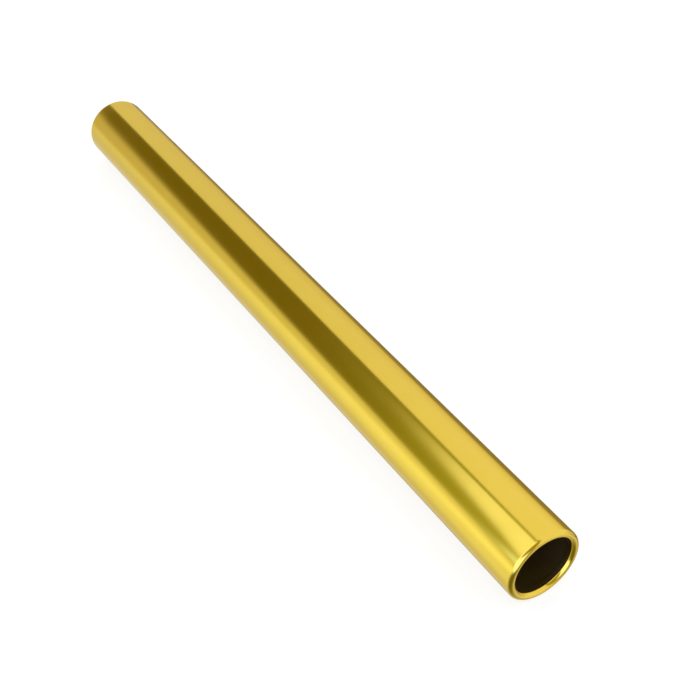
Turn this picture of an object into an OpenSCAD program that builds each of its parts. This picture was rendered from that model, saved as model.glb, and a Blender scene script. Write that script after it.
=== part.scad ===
// Relay baton: one drawn aluminium tube, open from end to end, with both rims rolled inwards.
// It lies along X on the plane z = 0, with the origin under its middle and +Z up.
// Each rim is the tube's own wall: it turns through half a circle into the tube and runs back
// as a short hem. The mouth is then a smooth round bead, and the cut edge lies out of reach.

/* [Tube] */
// Length from rim to rim
baton_length = 290; // [280:1:300]
// Outside diameter
baton_d = 25; // [20:0.5:40]
// Thickness of the wall
wall = 0.9; // [0.6:0.1:1.4]

/* [Rolled rims] */
// Inside radius of the bend that turns the wall back into the tube
bend_r = 0.4; // [0.2:0.1:1.5]
// Straight length of the hem, from the end of the bend to the cut edge
hem_l = 1.5; // [0.5:0.5:6]
// Rounding of the two corners of the cut edge
edge_r = 0.2; // [0.1:0.05:0.25]

/* [Hidden] */

$fn = 128;
gold = [0.83, 0.66, 0.20];

outer_r = baton_d / 2;
// Outer radius of the bend: the wall lies outside its inner radius
turn_r = bend_r + wall;
// Distance from the tube's axis to the centre of the bend
bend_centre_r = outer_r - turn_r;
// Half the length of the straight wall between the two bends
half_straight = baton_length / 2 - turn_r;
// Radius of the opening at each end, which is the hem's inner face
mouth_r = outer_r - 2 * turn_r;

// Sections are drawn with the radius along X and the tube's axis along Y

module straight_wall_section() {
    translate([outer_r - wall, -half_straight])
        square([wall, 2 * half_straight]);
}

module bend_section() {
    translate([bend_centre_r, half_straight])
        intersection() {
            difference() {
                circle(r = turn_r);
                circle(r = bend_r);
            }
            translate([-turn_r, 0])
                square([2 * turn_r, turn_r]);
        }
}

module hem_section() {
    translate([mouth_r, half_straight - hem_l]) {
        translate([0, edge_r])
            square([wall, hem_l - edge_r]);
        translate([edge_r, 0])
            square([wall - 2 * edge_r, edge_r]);
        for (corner_x = [edge_r, wall - edge_r])
            translate([corner_x, edge_r])
                circle(r = edge_r);
    }
}

module rim_section() {
    bend_section();
    hem_section();
}

module baton_section() {
    straight_wall_section();
    rim_section();
    mirror([0, 1])
        rim_section();
}

module baton_tube() {
    color(gold)
        translate([0, 0, outer_r])
            rotate([0, 90, 0])
                rotate_extrude()
                    baton_section();
}

baton_tube();
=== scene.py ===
"""Relay baton of gold anodised aluminium tube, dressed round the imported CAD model.

The baton lies along X on the plane z = 0. Lengths are metres, directions are in the same frame.
"""

import math

import bpy
import numpy as np
from bpy.props import FloatProperty, FloatVectorProperty, IntProperty, PointerProperty
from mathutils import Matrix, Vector


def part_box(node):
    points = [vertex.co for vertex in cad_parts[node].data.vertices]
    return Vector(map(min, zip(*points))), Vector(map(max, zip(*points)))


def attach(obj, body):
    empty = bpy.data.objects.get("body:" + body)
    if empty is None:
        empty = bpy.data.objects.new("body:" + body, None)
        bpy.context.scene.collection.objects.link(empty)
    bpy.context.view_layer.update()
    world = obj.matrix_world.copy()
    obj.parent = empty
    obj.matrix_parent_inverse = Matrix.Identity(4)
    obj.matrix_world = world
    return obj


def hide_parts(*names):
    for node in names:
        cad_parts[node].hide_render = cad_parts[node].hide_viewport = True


bl_info = {
    "name": "Relay Baton",
    "version": (1, 0, 0),
    "blender": (4, 5, 0),
    "location": "3D View > Sidebar > Baton",
    "description": "Builds a gold anodised relay baton and a plain white studio round it",
    "category": "Add Mesh",
}

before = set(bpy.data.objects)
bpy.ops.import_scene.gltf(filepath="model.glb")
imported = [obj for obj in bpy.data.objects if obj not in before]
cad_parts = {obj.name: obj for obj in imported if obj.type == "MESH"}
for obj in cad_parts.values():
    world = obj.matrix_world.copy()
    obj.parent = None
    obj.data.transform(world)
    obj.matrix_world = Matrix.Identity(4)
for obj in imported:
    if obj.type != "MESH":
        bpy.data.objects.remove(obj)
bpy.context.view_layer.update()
TUBE_LOW, TUBE_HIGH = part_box("baton_tube")

MM = 0.001


# Sizes, finishes and studio values


class BatonSizes(bpy.types.PropertyGroup):
    """Sizes of the tube and of its rolled rims."""

    length: FloatProperty(
        name="Length",
        description="Length of the baton from rim to rim",
        default=TUBE_HIGH.x - TUBE_LOW.x,
        unit="LENGTH",
    )
    diameter: FloatProperty(
        name="Diameter",
        description="Outside diameter of the tube",
        default=TUBE_HIGH.z - TUBE_LOW.z,
        unit="LENGTH",
    )
    wall: FloatProperty(
        name="Wall",
        description="Thickness of the tube's wall",
        default=0.9 * MM,
        unit="LENGTH",
    )
    bend: FloatProperty(
        name="Bend",
        description="Inside radius of the bend that turns the wall back into the tube",
        default=0.4 * MM,
        unit="LENGTH",
    )
    hem: FloatProperty(
        name="Hem",
        description="Straight length of the wall behind the bend, up to its cut edge",
        default=1.5 * MM,
        unit="LENGTH",
    )
    edge: FloatProperty(
        name="Edge rounding",
        description="Rounding of the two corners of the cut edge",
        default=0.2 * MM,
        unit="LENGTH",
    )
    around: IntProperty(
        name="Steps around",
        description="How many faces go round the tube",
        default=256,
        min=32,
        max=400,
    )


class BatonFinish(bpy.types.PropertyGroup):
    """Colours and polish of the anodised skin."""

    gold: FloatVectorProperty(
        name="Gold",
        description="Colour of the dyed skin",
        default=(0.80, 0.575, 0.085),
        size=3,
        subtype="COLOR",
        min=0.0,
        max=1.0,
    )
    deep_gold: FloatVectorProperty(
        name="Deep gold",
        description="Colour of the skin where it took a little more dye",
        default=(0.75, 0.53, 0.065),
        size=3,
        subtype="COLOR",
        min=0.0,
        max=1.0,
    )
    # The bore's colour is the unpolished wall's own tone, darkened further as painted shade inside
    # the tube.
    bore_gold_and_painted_shade: FloatVectorProperty(
        name="Bore",
        description="Colour of the unpolished wall inside the tube",
        default=(0.45, 0.345, 0.13),
        size=3,
        subtype="COLOR",
        min=0.0,
        max=1.0,
    )
    polish: FloatProperty(
        name="Polish",
        description="Roughness of the polished skin, lower is glossier",
        default=0.15,
        min=0.02,
        max=0.8,
    )
    edge_tint: FloatVectorProperty(
        name="Edge tint",
        description="Tint of the skin where it is seen almost edge on",
        default=(0.98, 0.95, 0.82),
        size=3,
        subtype="COLOR",
        min=0.0,
        max=1.0,
    )
    bore_polish: FloatProperty(
        name="Bore polish",
        description="Roughness of the wall inside the tube",
        default=0.42,
        min=0.02,
        max=0.9,
    )
    hem_polish: FloatProperty(
        name="Hem polish",
        description="Roughness of the hem behind the rim, which the roller smoothed",
        default=0.34,
        min=0.02,
        max=0.9,
    )
    grain: FloatProperty(
        name="Grain",
        description="Height of the fine lines that drawing left along the tube",
        default=0.0006 * MM,
        min=0.0,
        max=0.01 * MM,
        precision=7,
    )


class BatonStudio(bpy.types.PropertyGroup):
    """Camera, floor, and the lights and colours of the surroundings."""

    camera_place: FloatVectorProperty(
        name="Camera",
        description="Where the camera stands",
        default=(302.048 * MM, -164.934 * MM, 273.143 * MM),
        size=3,
        subtype="XYZ",
        unit="LENGTH",
    )
    camera_turn: FloatProperty(
        name="Turn",
        description="Turn of the camera about the vertical, from looking along +Y",
        default=math.radians(58.0559),
        subtype="ANGLE",
    )
    camera_tilt: FloatProperty(
        name="Tilt",
        description="How far the camera looks down from level",
        default=math.radians(39.1420),
        subtype="ANGLE",
    )
    lens: FloatProperty(
        name="Lens",
        description="Focal length on a 36 mm sensor, in millimetres",
        default=64.196,
        min=10.0,
        max=300.0,
    )
    floor_size: FloatProperty(
        name="Floor",
        description="Side of the square floor",
        default=8.0,
        unit="LENGTH",
    )
    floor_glow: FloatProperty(
        name="Floor glow",
        description="Light that the white floor gives besides what it throws back",
        default=0.78,
        min=0.0,
        max=2.0,
    )
    window_light: FloatVectorProperty(
        name="Window light",
        description="Cool white of the window on the -Y side, near the baton's mouth",
        default=(1.45, 1.78, 3.1),
        size=3,
        subtype="COLOR",
        min=0.0,
        max=5.0,
    )
    window_far: FloatVectorProperty(
        name="Window, far end",
        description="Light of the window towards the far end",
        default=(1.05, 1.17, 0.88),
        size=3,
        subtype="COLOR",
        min=0.0,
        max=5.0,
    )
    lamp_light: FloatVectorProperty(
        name="Lamp light",
        description="Cool white of the soft lamp above the near end",
        default=(1.34, 1.43, 1.70),
        size=3,
        subtype="COLOR",
        min=0.0,
        max=5.0,
    )
    floor_level: FloatProperty(
        name="Floor level",
        description="Brightness of the floor straight below, as the baton reflects it",
        default=0.8,
        min=0.0,
        max=5.0,
    )
    backdrop_far: FloatVectorProperty(
        name="Backdrop, far part",
        description="Light of the backdrop's part that is furthest behind",
        default=(0.69, 0.645, 0.57),
        size=3,
        subtype="COLOR",
        min=0.0,
        max=5.0,
    )
    backdrop_near: FloatVectorProperty(
        name="Backdrop, near part",
        description="Light of the backdrop's part nearest to the lamp",
        default=(1.06, 1.09, 0.97),
        size=3,
        subtype="COLOR",
        min=0.0,
        max=5.0,
    )
    panel_far: FloatVectorProperty(
        name="Panel, far end",
        description="Light of the long panel on the +Y side, towards the far end",
        default=(0.87, 0.87, 0.97),
        size=3,
        subtype="COLOR",
        min=0.0,
        max=5.0,
    )
    panel_near: FloatVectorProperty(
        name="Panel, near end",
        description="Light of the long panel towards the near end",
        default=(1.1, 1.1, 1.1),
        size=3,
        subtype="COLOR",
        min=0.0,
        max=5.0,
    )
    panel_foot: FloatVectorProperty(
        name="Panel foot",
        description="Colour of the long panel where it meets the floor",
        default=(0.85, 0.77, 0.42),
        size=3,
        subtype="COLOR",
        min=0.0,
        max=1.0,
    )
    # The foot line is a line of painted shade on the floor, as the baton reflects it.
    foot_shade_line: FloatVectorProperty(
        name="Foot line",
        description="Colour of the dark line at the foot of the long panel",
        default=(0.06, 0.05, 0.03),
        size=3,
        subtype="COLOR",
        min=0.0,
        max=1.0,
    )
    room_behind: FloatVectorProperty(
        name="Room behind",
        description="Colour of the dark room between the panels, behind the far end",
        default=(0.19, 0.155, 0.015),
        size=3,
        subtype="COLOR",
        min=0.0,
        max=1.0,
    )
    room_ahead: FloatVectorProperty(
        name="Room ahead",
        description="Colour of the room above and ahead of the near end",
        default=(0.49, 0.52, 0.06),
        size=3,
        subtype="COLOR",
        min=0.0,
        max=1.0,
    )
    room_front: FloatVectorProperty(
        name="Room in front",
        description="Colour of the room in front of the near end's mouth",
        default=(0.46, 0.40, 0.08),
        size=3,
        subtype="COLOR",
        min=0.0,
        max=1.0,
    )
    # A dark patch in the floor as the baton reflects it, below the window.
    patch: FloatVectorProperty(
        name="Opening",
        description="Colour of the dark opening below the window",
        default=(0.2, 0.19, 0.04),
        size=3,
        subtype="COLOR",
        min=0.0,
        max=1.0,
    )


# Shape of the tube

# Points along the half circle of the skin, where the tube's outside turns into its mouth
TURN_STEPS = 49
# Points along the half circle inside the bend, and along a rounded corner of the cut edge
BEND_STEPS = 17
EDGE_STEPS = 6
# Points between the ends of a face of the hem, of the outer wall and of the inner wall
HEM_STEPS = 3
OUTER_STEPS = 31
INNER_STEPS = 15


def arc(centre, radius, start, end, steps):
    """Points centre + radius (cos a, sin a), with a going evenly from start to end in degrees."""
    a = np.radians(np.linspace(start, end, steps))
    return np.stack([centre[0] + radius * np.cos(a), centre[1] + radius * np.sin(a)], axis=1)


def line(start, end, steps):
    """Points that go evenly from start to end, both left out, because arcs begin and end there."""
    t = np.linspace(0.0, 1.0, steps + 2)[1:-1, None]
    return np.array(start) * (1.0 - t) + np.array(end) * t


def rim_profile(sizes):
    """Half section of the +X rim as (x, radius), from the outer wall round to the inner wall.

    The skin follows half a circle of radius bend + wall, then the hem's inner face, its cut edge
    with two rounded corners, the hem's outer face, and half a circle of radius bend.
    """
    turn = sizes.bend + sizes.wall
    x_bend = sizes.length / 2 - turn
    centre = (x_bend, sizes.diameter / 2 - turn)
    r_mouth = sizes.diameter / 2 - 2 * turn
    r_back = r_mouth + sizes.wall
    x_cut = x_bend - sizes.hem
    x_round = x_cut + sizes.edge
    return np.concatenate(
        [
            arc(centre, turn, 90, -90, TURN_STEPS),
            line((x_bend, r_mouth), (x_round, r_mouth), HEM_STEPS),
            arc((x_round, r_mouth + sizes.edge), sizes.edge, 270, 180, EDGE_STEPS),
            arc((x_round, r_back - sizes.edge), sizes.edge, 180, 90, EDGE_STEPS),
            line((x_round, r_back), (x_bend, r_back), HEM_STEPS),
            arc(centre, sizes.bend, -90, 90, BEND_STEPS),
        ]
    )


def tube_profile(sizes):
    """Closed section of the whole wall, and for each point whether it lies on the polished skin.

    It runs along the outer wall to +X, round that rim, back along the inner wall and round the
    other rim, which is the first one mirrored in x.
    """
    rim = rim_profile(sizes)
    far_rim = rim[::-1] * [-1.0, 1.0]
    outer = line(far_rim[-1], rim[0], OUTER_STEPS)
    inner = line(rim[-1], far_rim[0], INNER_STEPS)
    section = np.concatenate([outer, rim, inner, far_rim])
    skin_rim = np.arange(len(rim)) < TURN_STEPS
    skin = np.concatenate(
        [np.ones(len(outer), bool), skin_rim, np.zeros(len(inner), bool), skin_rim[::-1]]
    )
    return section, skin


def revolved_mesh(name, section, skin, around, axis_height):
    """Closed ring of section about the line y = 0, z = axis_height.

    Point (i, j) is (x_i, -r_i sin a_j, axis_height + r_i cos a_j), with a_j = 2 pi j / around.
    Both i and j run round and meet their own start. Faces off the skin take the second material.
    """
    count = len(section)
    angle = 2 * np.pi * np.arange(around) / around
    x, r = section[:, 0][:, None], section[:, 1][:, None]
    grid = np.stack(
        [
            np.broadcast_to(x, (count, around)),
            -r * np.sin(angle),
            axis_height + r * np.cos(angle),
        ],
        axis=-1,
    )
    i, j = np.meshgrid(np.arange(count), np.arange(around), indexing="ij")
    i_next, j_next = (i + 1) % count, (j + 1) % around
    corners = [i * around + j, i_next * around + j, i_next * around + j_next, i * around + j_next]
    faces = np.stack(corners, axis=-1).reshape(-1, 4)
    mesh = bpy.data.meshes.new(name)
    mesh.from_pydata(grid.reshape(-1, 3), [], faces)
    on_skin = (skin & np.roll(skin, -1))[:, None] & np.ones(around, bool)
    mesh.polygons.foreach_set("material_index", np.where(on_skin, 0, 1).ravel().astype(np.int32))
    mesh.polygons.foreach_set("use_smooth", np.ones(len(faces), bool))
    mesh.update()
    return mesh


# Finishes

# The part of a noise's 0 to 1 that is put to use, because its values seldom lie outside
NOISE_RANGE = (0.3, 0.7)
# Shares by which the polish of the skin, and the polish and tone of the bore, change from place
# to place
SKIN_SPREAD = 0.07
BORE_SPREAD = 0.15
# The rings reach their full height at this share of the bend's outer radius from the rim's end
FULL_RINGS = 0.7
# Colour of the floor before its glow
FLOOR_BASE = (0.3, 0.3, 0.3, 1.0)


def add_node(tree, kind, place, **settings):
    """New node of that kind at place, with its own settings."""
    node = tree.nodes.new(kind)
    node.location = place
    for key, value in settings.items():
        setattr(node, key, value)
    return node


def noise_node(tree, place, **values):
    """Noise node at place, with its named inputs set."""
    node = add_node(tree, "ShaderNodeTexNoise", place)
    for name, value in values.items():
        node.inputs[name].default_value = value
    return node


def varied(tree, noise, middle, spread, place):
    """Value that follows the noise, from middle less a share of it to middle plus that share."""
    node = add_node(tree, "ShaderNodeMapRange", place)
    limits = (*NOISE_RANGE, middle * (1.0 - spread), middle * (1.0 + spread))
    for name, number in zip(("From Min", "From Max", "To Min", "To Max"), limits):
        node.inputs[name].default_value = number
    tree.links.new(noise, node.inputs["Value"])
    return node.outputs["Result"]


def new_group(name, inputs, outputs):
    """Empty shader group with the named float sockets, and its input and output nodes."""
    group = bpy.data.node_groups.new(name, "ShaderNodeTree")
    for socket, default in inputs.items():
        made = group.interface.new_socket(name=socket, in_out="INPUT", socket_type="NodeSocketFloat")
        made.default_value = default
    for socket in outputs:
        group.interface.new_socket(name=socket, in_out="OUTPUT", socket_type="NodeSocketFloat")
    return (
        group,
        add_node(group, "NodeGroupInput", (-900, 0)),
        add_node(group, "NodeGroupOutput", (700, 0)),
    )


def drawn_grain_group():
    """Fine lines along X, as drawing through a die leaves them: noise that is long in x.

    Outputs: Lines, 0 to 1, and Clouds, 0 to 1, for slow changes of the dye and the polish.
    """
    group, given, result = new_group(
        "Drawn grain", {"Lines per mm": 4.0, "Length of line": 25.0}, ["Lines", "Clouds"]
    )
    links = group.links
    where = add_node(group, "ShaderNodeTexCoord", (-900, 300))
    split = add_node(group, "ShaderNodeSeparateXYZ", (-700, 300))
    links.new(where.outputs["Object"], split.inputs[0])
    across = add_node(group, "ShaderNodeMath", (-700, 0), operation="MULTIPLY")
    across.inputs[1].default_value = 1 / MM
    links.new(given.outputs["Lines per mm"], across.inputs[0])
    along = add_node(group, "ShaderNodeMath", (-700, -200), operation="DIVIDE")
    along.inputs[0].default_value = 1 / MM
    links.new(given.outputs["Length of line"], along.inputs[1])
    scaled = {}
    for axis, factor in (("X", along), ("Y", across), ("Z", across)):
        scaled[axis] = add_node(group, "ShaderNodeMath", (-500, 300), operation="MULTIPLY")
        links.new(split.outputs[axis], scaled[axis].inputs[0])
        links.new(factor.outputs[0], scaled[axis].inputs[1])
    joined = add_node(group, "ShaderNodeCombineXYZ", (-300, 300))
    for axis, node in scaled.items():
        links.new(node.outputs[0], joined.inputs[axis])
    lines = noise_node(group, (-100, 300), Scale=1.0, Detail=3.0, Roughness=0.6)
    links.new(joined.outputs[0], lines.inputs["Vector"])
    clouds = noise_node(group, (-100, -100), Scale=90.0, Detail=5.0, Roughness=0.65)
    links.new(where.outputs["Object"], clouds.inputs["Vector"])
    links.new(lines.outputs[0], result.inputs["Lines"])
    links.new(clouds.outputs[0], result.inputs["Clouds"])
    return group


def rolling_marks_group():
    """Fine rings that the roller left on the rim: noise of x and of the distance from the axis.

    Outputs: Rings, 0 to 1, and On rim, which is 0 up to the distance Rim starts from the tube's
    middle and 1 from the distance Rim ends on.
    """
    group, given, result = new_group(
        "Rolling marks",
        {"Rings per mm": 9.0, "Axis height": 0.0, "Rim starts": 0.0, "Rim ends": 1.0},
        ["Rings", "On rim"],
    )
    links = group.links
    where = add_node(group, "ShaderNodeTexCoord", (-900, 300))
    split = add_node(group, "ShaderNodeSeparateXYZ", (-700, 300))
    links.new(where.outputs["Object"], split.inputs[0])
    height = add_node(group, "ShaderNodeMath", (-500, 100), operation="SUBTRACT")
    links.new(split.outputs["Z"], height.inputs[0])
    links.new(given.outputs["Axis height"], height.inputs[1])
    radial = add_node(group, "ShaderNodeCombineXYZ", (-350, 100))
    links.new(split.outputs["Y"], radial.inputs["Y"])
    links.new(height.outputs[0], radial.inputs["Z"])
    radius = add_node(group, "ShaderNodeVectorMath", (-200, 100), operation="LENGTH")
    links.new(radial.outputs[0], radius.inputs[0])
    section = add_node(group, "ShaderNodeCombineXYZ", (-50, 200))
    links.new(split.outputs["X"], section.inputs["X"])
    links.new(radius.outputs["Value"], section.inputs["Y"])
    per_metre = add_node(group, "ShaderNodeMath", (-50, -50), operation="MULTIPLY")
    per_metre.inputs[1].default_value = 1 / MM
    links.new(given.outputs["Rings per mm"], per_metre.inputs[0])
    rings = noise_node(group, (150, 200), Detail=2.0)
    links.new(section.outputs[0], rings.inputs["Vector"])
    links.new(per_metre.outputs[0], rings.inputs["Scale"])
    far = add_node(group, "ShaderNodeMath", (-500, 500), operation="ABSOLUTE")
    links.new(split.outputs["X"], far.inputs[0])
    on_rim = add_node(group, "ShaderNodeMapRange", (-200, 500), interpolation_type="SMOOTHSTEP")
    links.new(far.outputs[0], on_rim.inputs["Value"])
    links.new(given.outputs["Rim starts"], on_rim.inputs["From Min"])
    links.new(given.outputs["Rim ends"], on_rim.inputs["From Max"])
    links.new(rings.outputs[0], result.inputs["Rings"])
    links.new(on_rim.outputs["Result"], result.inputs["On rim"])
    return group


def place_group(tree, group, place, **values):
    """Group node in tree, with its named inputs set. Underscores stand for spaces."""
    node = add_node(tree, "ShaderNodeGroup", place)
    node.node_tree = group
    for key, value in values.items():
        node.inputs[key.replace("_", " ")].default_value = value
    return node


def skin_material(name, sizes, finish, grain, marks):
    """Polished, gold anodised skin: mirror-like metal with drawn lines and rings on the rims."""
    material = bpy.data.materials.new(name)
    material.use_nodes = True
    tree = material.node_tree
    links = tree.links
    metal = tree.nodes["Principled BSDF"]
    metal.inputs["Metallic"].default_value = 1.0
    metal.inputs["Specular Tint"].default_value = (*finish.edge_tint, 1.0)
    drawn = place_group(tree, grain, (-900, 100))
    turn = sizes.bend + sizes.wall
    rolled = place_group(
        tree,
        marks,
        (-900, -200),
        Axis_height=sizes.diameter / 2,
        Rim_starts=sizes.length / 2 - turn,
        Rim_ends=sizes.length / 2 - turn * FULL_RINGS,
    )
    tone = add_node(tree, "ShaderNodeMix", (-300, 300), data_type="RGBA")
    tone.inputs["A"].default_value = (*finish.gold, 1.0)
    tone.inputs["B"].default_value = (*finish.deep_gold, 1.0)
    links.new(drawn.outputs["Clouds"], tone.inputs["Factor"])
    links.new(tone.outputs["Result"], metal.inputs["Base Color"])
    rough = varied(tree, drawn.outputs["Clouds"], finish.polish, SKIN_SPREAD, (-300, 50))
    links.new(rough, metal.inputs["Roughness"])
    height = add_node(tree, "ShaderNodeMix", (-500, -250), data_type="FLOAT")
    links.new(rolled.outputs["On rim"], height.inputs["Factor"])
    links.new(drawn.outputs["Lines"], height.inputs["A"])
    links.new(rolled.outputs["Rings"], height.inputs["B"])
    relief = add_node(tree, "ShaderNodeBump", (-250, -250))
    relief.inputs["Strength"].default_value = 1.0
    relief.inputs["Distance"].default_value = finish.grain
    links.new(height.outputs["Result"], relief.inputs["Height"])
    links.new(relief.outputs["Normal"], metal.inputs["Normal"])
    return material


def bore_material(name, sizes, finish, grain, marks):
    """Wall inside the tube: the same dyed metal, unpolished, and smoother on the rolled hem. Its
    colour is darker than the skin's, and part of that darkness is painted shade inside the tube.
    """
    material = bpy.data.materials.new(name)
    material.use_nodes = True
    tree = material.node_tree
    links = tree.links
    metal = tree.nodes["Principled BSDF"]
    metal.inputs["Metallic"].default_value = 1.0
    drawn = place_group(tree, grain, (-900, 100), Lines_per_mm=2.0, Length_of_line=40.0)
    tone = add_node(tree, "ShaderNodeMix", (-300, 300), data_type="RGBA")
    # The bore's colour, spread by the noise, carries painted shade inside the tube.
    for end, share in (("A", 1.0 + BORE_SPREAD), ("B", 1.0 - BORE_SPREAD)):
        tone.inputs[end].default_value = (*[share * c for c in finish.bore_gold_and_painted_shade], 1.0)
    links.new(drawn.outputs["Lines"], tone.inputs["Factor"])
    links.new(tone.outputs["Result"], metal.inputs["Base Color"])
    rough = varied(tree, drawn.outputs["Lines"], finish.bore_polish, BORE_SPREAD, (-300, 50))
    cut = sizes.length / 2 - (sizes.bend + sizes.wall) - sizes.hem
    rolled = place_group(
        tree,
        marks,
        (-900, -200),
        Axis_height=sizes.diameter / 2,
        Rim_starts=cut - sizes.edge,
        Rim_ends=cut,
    )
    smoothed = add_node(tree, "ShaderNodeMix", (-100, 50), data_type="FLOAT")
    smoothed.inputs["B"].default_value = finish.hem_polish
    links.new(rolled.outputs["On rim"], smoothed.inputs["Factor"])
    links.new(rough, smoothed.inputs["A"])
    links.new(smoothed.outputs["Result"], metal.inputs["Roughness"])
    return material


def floor_material(name, studio):
    """Pale floor that glows white, and that is see-through from below."""
    material = bpy.data.materials.new(name)
    material.use_nodes = True
    tree = material.node_tree
    links = tree.links
    board = tree.nodes["Principled BSDF"]
    board.inputs["Base Color"].default_value = FLOOR_BASE
    board.inputs["Roughness"].default_value = 0.9
    board.inputs["Specular IOR Level"].default_value = 0.0
    board.inputs["Emission Color"].default_value = (1.0, 1.0, 1.0, 1.0)
    board.inputs["Emission Strength"].default_value = studio.floor_glow
    side = add_node(tree, "ShaderNodeNewGeometry", (0, 400))
    clear = add_node(tree, "ShaderNodeBsdfTransparent", (0, -300))
    choice = add_node(tree, "ShaderNodeMixShader", (300, 200))
    links.new(side.outputs["Backfacing"], choice.inputs["Fac"])
    links.new(board.outputs[0], choice.inputs[1])
    links.new(clear.outputs[0], choice.inputs[2])
    links.new(choice.outputs[0], tree.nodes["Material Output"].inputs["Surface"])
    return material


# Studio

# Points on the ceiling, as (x, y) at a height of 1 above the baton. The edge of a panel, or of the
# light that it gives, runs through two of them.
PANEL_EDGES = (((-1.43, 0.150), (-0.52, 0.008)), ((-0.52, 0.008), (1.7, 0.25)))
PANEL_SOFTNESS = 0.03
BACKDROP_EDGE = ((-2.12, -0.84), (-3.16, -3.60))
BACKDROP_SOFTNESS = 0.08
WINDOW_EDGE = ((-1.49, -2.71), (-4.06, -7.19))
LAMP_OUTLINE = (
    (-1.02, -1.71),
    (-0.735, -0.4),
    (-0.675, -0.12),
    (-0.56, -0.098),
    (0.30, -0.07),
    (0.36, -0.69),
    (0.40, -1.43),
)
LAMP_SOFTNESS = (0.045, 0.03, 0.03, 0.03, 0.15, 0.15)
# A point within the outline, which tells the lit side of each edge, as WINDOW_MIDDLE does below
LAMP_MIDDLE = (-0.1, -0.6)
# Corners of the window's edges on the -Y side, as (azimuth, elevation) in degrees from +X and level
WINDOW_TOP = ((-73.5, 29.7), (-9.0, 14.0))
WINDOW_SIDE = ((-9.0, 14.0), (-9.0, -23.0))
WINDOW_FOOT = ((-84.5, -6.0), (-25.0, -21.5))
WINDOW_SOFTNESS = (0.08, 0.07, 0.08, 0.03)
WINDOW_MIDDLE = (-75.0, 0.0)
# How the floor looks from the baton, with pools of painted light and shade: soft pools as
# (azimuth, elevation, full within, gone beyond) in degrees, each with its colour
PAINTED_FLOOR_POOLS = (
    ((-81.0, -3.0, 17.0, 77.0), (1.42, 1.52, 1.50)),
    ((122.0, -34.0, 24.0, 43.0), (0.34, 0.28, 0.12)),
    ((20.0, -13.0, 20.0, 48.0), (1.25, 1.25, 1.25)),
    ((3.0, -2.0, 1.0, 12.0), (0.70, 0.68, 0.45)),
    ((-106.0, -33.0, 8.0, 23.0), (1.03, 1.05, 1.03)),
)
# A dark patch in the floor as the baton reflects it, below the window towards the near end, given as
# a pool is
DARK_PATCH = (-33.0, -38.0, 8.0, 67.0)
# The line of painted shade on the floor at the panel's foot, as the baton reflects it: its angle in
# degrees from +Z towards -Y, and its half width
FOOT_SHADE_ANGLE = -121.0
FOOT_SHADE_WIDTH = 0.042
# Between which x of a unit direction each light or colour changes from its far to its near one
PANEL_CHANGE = (-0.85, -0.42)
BACKDROP_CHANGE = (-0.90, -0.43)
WINDOW_CHANGE = (-0.50, -0.38)
ROOM_CHANGE = (-0.69, -0.46)
FRONT_CHANGE = (-0.30, 0.20)
# Between which heights the panel changes from its foot's colour to its own. A height is z of a unit
# direction plus x times the slope, so the foot's colour reaches higher towards the far end.
PANEL_RISE = (-0.32, 0.28)
PANEL_SLOPE = 0.3
# Between which z of a unit direction the floor gives way to the walls
HORIZON = (-0.18, 0.04)
# What the camera sees past the floor
PLAIN_WHITE = (1.0, 1.0, 1.0)


def edge_normal(start, end, bright_side):
    """Unit normal of the plane through the eye and an edge, on the same side as bright_side."""
    normal = Vector(start).cross(Vector(end)).normalized()
    return normal if normal.dot(Vector(bright_side)) > 0 else -normal


def overhead(point):
    """Direction from the baton to a point on the ceiling, which is at a height of 1."""
    return (point[0], point[1], 1.0)


def toward(bearing):
    """Unit vector of an (azimuth, elevation) in degrees. Azimuth 0 is +X and 90 is +Y."""
    azimuth, elevation = map(math.radians, bearing)
    level = math.cos(elevation)
    return (level * math.cos(azimuth), level * math.sin(azimuth), math.sin(elevation))


def side_mask(tree, direction, normal, softness, place):
    """1 on the side of the plane that its normal points to, 0 on the other, soft in between."""
    dot = add_node(tree, "ShaderNodeVectorMath", place, operation="DOT_PRODUCT")
    dot.inputs[1].default_value = normal
    tree.links.new(direction, dot.inputs[0])
    mask = add_node(
        tree, "ShaderNodeMapRange", (place[0] + 200, place[1]), interpolation_type="SMOOTHSTEP"
    )
    mask.inputs["From Min"].default_value = -softness
    mask.inputs["From Max"].default_value = softness
    tree.links.new(dot.outputs["Value"], mask.inputs["Value"])
    return mask.outputs["Result"]


def combine(tree, kind, first, second, place):
    """Math node of that kind on two outputs."""
    node = add_node(tree, "ShaderNodeMath", place, operation=kind)
    tree.links.new(first, node.inputs[0])
    tree.links.new(second, node.inputs[1])
    return node.outputs[0]


def ramp(tree, value, start, end, low, high, place):
    """low where value is start or less, high where it is end or more, smooth in between."""
    node = add_node(tree, "ShaderNodeMapRange", place, interpolation_type="SMOOTHSTEP")
    for name, number in zip(("From Min", "From Max", "To Min", "To Max"), (start, end, low, high)):
        node.inputs[name].default_value = number
    tree.links.new(value, node.inputs["Value"])
    return node.outputs["Result"]


def lay_over(tree, under, over, mask, place):
    """Colour over where mask is 1, colour under where it is 0."""
    node = add_node(tree, "ShaderNodeMix", place, data_type="RGBA")
    tree.links.new(mask, node.inputs["Factor"])
    for name, colour in (("A", under), ("B", over)):
        if isinstance(colour, tuple):
            node.inputs[name].default_value = (*colour, 1.0)
        else:
            tree.links.new(colour, node.inputs[name])
    return node.outputs["Result"]


def product(tree, masks, place):
    """All masks multiplied."""
    result = masks[0]
    for number, mask in enumerate(masks[1:]):
        result = combine(tree, "MULTIPLY", result, mask, (place[0] + 150 * number, place[1]))
    return result


def lamp_mask(tree, direction):
    """1 towards the soft lamp overhead, whose outline is a polygon on the ceiling."""
    masks = []
    pairs = zip(LAMP_OUTLINE[:-1], LAMP_OUTLINE[1:], LAMP_SOFTNESS)
    for number, (start, end, softness) in enumerate(pairs):
        normal = edge_normal(overhead(start), overhead(end), overhead(LAMP_MIDDLE))
        masks.append(side_mask(tree, direction, normal, softness, (-900, -200 * number)))
    return product(tree, masks, (-450, 0))


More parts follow.
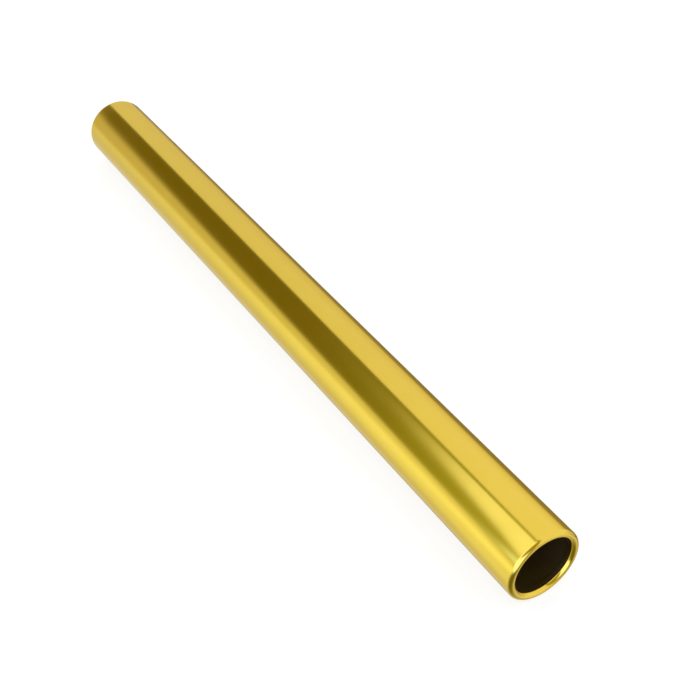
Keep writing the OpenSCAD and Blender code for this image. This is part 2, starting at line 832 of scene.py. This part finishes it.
def window_mask(tree, direction):
    """1 towards the window on the -Y side, which reaches from low behind to low in front."""
    inside = toward(WINDOW_MIDDLE)
    edges = [tuple(map(toward, pair)) for pair in (WINDOW_TOP, WINDOW_SIDE, WINDOW_FOOT)]
    edges.append(tuple(map(overhead, WINDOW_EDGE)))
    masks = []
    for number, (edge, softness) in enumerate(zip(edges, WINDOW_SOFTNESS)):
        place = (-900, -1500 - 200 * number)
        masks.append(side_mask(tree, direction, edge_normal(*edge, inside), softness, place))
    return product(tree, masks, (-450, -1500))


def pool_mask(tree, direction, pool, place):
    """1 within the pool's inner angle from its bearing, 0 beyond its outer angle."""
    azimuth, elevation, full, gone = pool
    dot = add_node(tree, "ShaderNodeVectorMath", place, operation="DOT_PRODUCT")
    dot.inputs[1].default_value = toward((azimuth, elevation))
    tree.links.new(direction, dot.inputs[0])
    start, end = math.cos(math.radians(gone)), math.cos(math.radians(full))
    return ramp(tree, dot.outputs["Value"], start, end, 0.0, 1.0, (place[0] + 200, place[1]))


def stripe_mask(tree, direction, angle, width, place):
    """1 in the plane through the X axis at that angle from +Z towards -Y, 0 beyond the width."""
    turn = math.radians(angle)
    dot = add_node(tree, "ShaderNodeVectorMath", place, operation="DOT_PRODUCT")
    dot.inputs[1].default_value = (0.0, math.cos(turn), math.sin(turn))
    tree.links.new(direction, dot.inputs[0])
    away = add_node(tree, "ShaderNodeMath", (place[0] + 150, place[1]), operation="ABSOLUTE")
    tree.links.new(dot.outputs["Value"], away.inputs[0])
    return ramp(tree, away.outputs[0], 0.0, width, 1.0, 0.0, (place[0] + 300, place[1]))


def panel_mask(tree, direction):
    """1 towards the long panel on the +Y side, whose upper edge has one corner."""
    masks = []
    for number, edge in enumerate(PANEL_EDGES):
        normal = edge_normal(*map(overhead, edge), (0, 1, 0))
        place = (-900, 500 + 200 * number)
        masks.append(side_mask(tree, direction, normal, PANEL_SOFTNESS, place))
    return product(tree, masks, (-450, 600))


def backdrop_mask(tree, direction):
    """1 towards the backdrop behind the far end."""
    normal = edge_normal(*map(overhead, BACKDROP_EDGE), (-1, 0, 0))
    return side_mask(tree, direction, normal, BACKDROP_SOFTNESS, (-900, 300))


def far_to_near(tree, along, far, near, change, place):
    """Colour far where along is change's first number or less, near from its second one on."""
    mask = ramp(tree, along, *change, 0.0, 1.0, place)
    return lay_over(tree, tuple(far), tuple(near), mask, (place[0] + 200, place[1]))


def room_colour(tree, along, studio):
    """Room between the panels: one colour behind, one ahead, and one in front of the mouth."""
    room = far_to_near(
        tree, along, studio.room_behind, studio.room_ahead, ROOM_CHANGE, (-900, 1100)
    )
    front = ramp(tree, along, *FRONT_CHANGE, 0.0, 1.0, (-900, 900))
    return lay_over(tree, room, tuple(studio.room_front), front, (-500, 900))


def panel_colour(tree, along, upward, studio):
    """Long panel: its colour along the baton, over the colour of its foot."""
    panel = far_to_near(
        tree, along, studio.panel_far, studio.panel_near, PANEL_CHANGE, (-900, 1500)
    )
    height = add_node(tree, "ShaderNodeMath", (-1100, 1300), operation="MULTIPLY_ADD")
    height.inputs[1].default_value = PANEL_SLOPE
    tree.links.new(along, height.inputs[0])
    tree.links.new(upward, height.inputs[2])
    raised = ramp(tree, height.outputs[0], *PANEL_RISE, 0.0, 1.0, (-900, 1300))
    return lay_over(tree, tuple(studio.panel_foot), panel, raised, (-500, 1300))


def painted_floor_reflection(tree, direction, studio):
    """Floor as it looks from the baton, with painted light and shade: its level, the pools of light
    and shade, the dark patch, and the line of painted shade at the panel's foot.
    """
    floor = (studio.floor_level,) * 3
    pools = (*PAINTED_FLOOR_POOLS, (DARK_PATCH, tuple(studio.patch)))
    for number, (pool, colour) in enumerate(pools):
        mask = pool_mask(tree, direction, pool, (-900, 2200 + 200 * number))
        floor = lay_over(tree, floor, colour, mask, (-300, 2200 + 200 * number))
    # A line of painted shade on the floor at the panel's foot.
    foot = stripe_mask(tree, direction, FOOT_SHADE_ANGLE, FOOT_SHADE_WIDTH, (-900, 1900))
    return lay_over(tree, floor, tuple(studio.foot_shade_line), foot, (-100, 1900))


def studio_world(studio):
    """Surroundings by direction: the dark room, and over it in turn the backdrop behind the far
    end, the lamp above the near end, the long panel on the +Y side, below the horizon the floor
    as it looks from the baton with its painted light and shade, and the window on the -Y side.
    The camera sees plain white.
    """
    world = bpy.data.worlds.new("White studio")
    world.use_nodes = True
    tree = world.node_tree
    where = add_node(tree, "ShaderNodeTexCoord", (-1500, 0))
    direction = where.outputs["Generated"]
    split = add_node(tree, "ShaderNodeSeparateXYZ", (-1300, 300))
    tree.links.new(direction, split.inputs[0])
    along, upward = split.outputs["X"], split.outputs["Z"]
    backdrop = far_to_near(
        tree, along, studio.backdrop_far, studio.backdrop_near, BACKDROP_CHANGE, (-900, 1700)
    )
    window = far_to_near(
        tree, along, studio.window_far, studio.window_light, WINDOW_CHANGE, (-900, -2500)
    )
    below = ramp(tree, upward, *HORIZON, 1.0, 0.0, (-900, 100))
    path = add_node(tree, "ShaderNodeLightPath", (900, 500))
    layers = (
        (backdrop, backdrop_mask(tree, direction)),
        (tuple(studio.lamp_light), lamp_mask(tree, direction)),
        (panel_colour(tree, along, upward, studio), panel_mask(tree, direction)),
        (painted_floor_reflection(tree, direction, studio), below),
        (window, window_mask(tree, direction)),
        (PLAIN_WHITE, path.outputs["Is Camera Ray"]),
    )
    light = room_colour(tree, along, studio)
    for number, (colour, mask) in enumerate(layers):
        light = lay_over(tree, light, colour, mask, (100 + 200 * number, 200))
    background = tree.nodes["Background"]
    background.location = (1300, 200)
    tree.nodes["World Output"].location = (1500, 200)
    tree.links.new(light, background.inputs["Color"])
    return world


def floor_object(studio):
    """Square floor at z = 0 with its centre under the baton, facing up."""
    half = studio.floor_size / 2
    corners = [(-half, -half, 0), (half, -half, 0), (half, half, 0), (-half, half, 0)]
    mesh = bpy.data.meshes.new("floor")
    mesh.from_pydata(corners, [], [(0, 1, 2, 3)])
    mesh.materials.append(floor_material("white floor", studio))
    floor = bpy.data.objects.new("floor", mesh)
    # The baton doesn't reflect this floor. The world paints the floor's reflection below the
    # horizon, with its pools of light and shade.
    floor.visible_glossy = False
    return floor


# Width of the camera's sensor in millimetres, and how near and far it sees in metres
SENSOR_WIDTH = 36.0
NEAREST = 0.01
FURTHEST = 50.0


def camera_object(studio):
    """Level camera at its place, turned and tilted as its values say."""
    camera = bpy.data.objects.new("camera", bpy.data.cameras.new("camera"))
    camera.location = studio.camera_place
    camera.rotation_euler = (math.pi / 2 - studio.camera_tilt, 0.0, studio.camera_turn)
    camera.data.lens = studio.lens
    camera.data.sensor_width = SENSOR_WIDTH
    camera.data.clip_start = NEAREST
    camera.data.clip_end = FURTHEST
    return camera


# Operators and panel


class BATON_OT_tube(bpy.types.Operator):
    """Build the tube with its two rolled rims and its finishes"""

    bl_idname = "baton.tube"
    bl_label = "Build Tube"
    bl_options = {"REGISTER", "UNDO"}

    def execute(self, context):
        sizes, finish = context.scene.baton_sizes, context.scene.baton_finish
        section, skin = tube_profile(sizes)
        mesh = revolved_mesh("drawn_tube", section, skin, sizes.around, sizes.diameter / 2)
        grain, marks = drawn_grain_group(), rolling_marks_group()
        mesh.materials.append(skin_material("polished gold skin", sizes, finish, grain, marks))
        mesh.materials.append(bore_material("unpolished bore with painted shade", sizes, finish, grain, marks))
        tube = bpy.data.objects.new("drawn_tube", mesh)
        context.scene.collection.objects.link(tube)
        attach(tube, "root")
        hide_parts("baton_tube")
        return {"FINISHED"}


class BATON_OT_stage(bpy.types.Operator):
    """Set up the floor, the surroundings and the camera"""

    bl_idname = "baton.stage"
    bl_label = "Set Up Stage"
    bl_options = {"REGISTER", "UNDO"}

    def execute(self, context):
        scene, studio = context.scene, context.scene.baton_studio
        floor, camera = floor_object(studio), camera_object(studio)
        for made in (floor, camera):
            scene.collection.objects.link(made)
        scene.camera = camera
        scene.world = studio_world(studio)
        scene.view_settings.view_transform = "Standard"
        return {"FINISHED"}


class BATON_PT_panel(bpy.types.Panel):
    """Lists the baton's operators and values"""

    bl_idname = "BATON_PT_panel"
    bl_label = "Relay Baton"
    bl_space_type = "VIEW_3D"
    bl_region_type = "UI"
    bl_category = "Baton"

    def draw(self, context):
        layout, scene = self.layout, context.scene
        for operator in (BATON_OT_tube, BATON_OT_stage):
            layout.operator(operator.bl_idname)
        for group in (scene.baton_sizes, scene.baton_finish, scene.baton_studio):
            box = layout.box()
            for key in group.bl_rna.properties.keys():
                if key not in {"rna_type", "name"}:
                    box.prop(group, key)


GROUPS = {
    "baton_sizes": BatonSizes,
    "baton_finish": BatonFinish,
    "baton_studio": BatonStudio,
}
CLASSES = (*GROUPS.values(), BATON_OT_tube, BATON_OT_stage, BATON_PT_panel)


def register():
    for made in CLASSES:
        bpy.utils.register_class(made)
    for name, group in GROUPS.items():
        setattr(bpy.types.Scene, name, PointerProperty(type=group))


def unregister():
    for name in GROUPS:
        delattr(bpy.types.Scene, name)
    for made in reversed(CLASSES):
        bpy.utils.unregister_class(made)


def main():
    register()
    bpy.ops.baton.tube()
    bpy.ops.baton.stage()


if __name__ == "__main__":
    main()
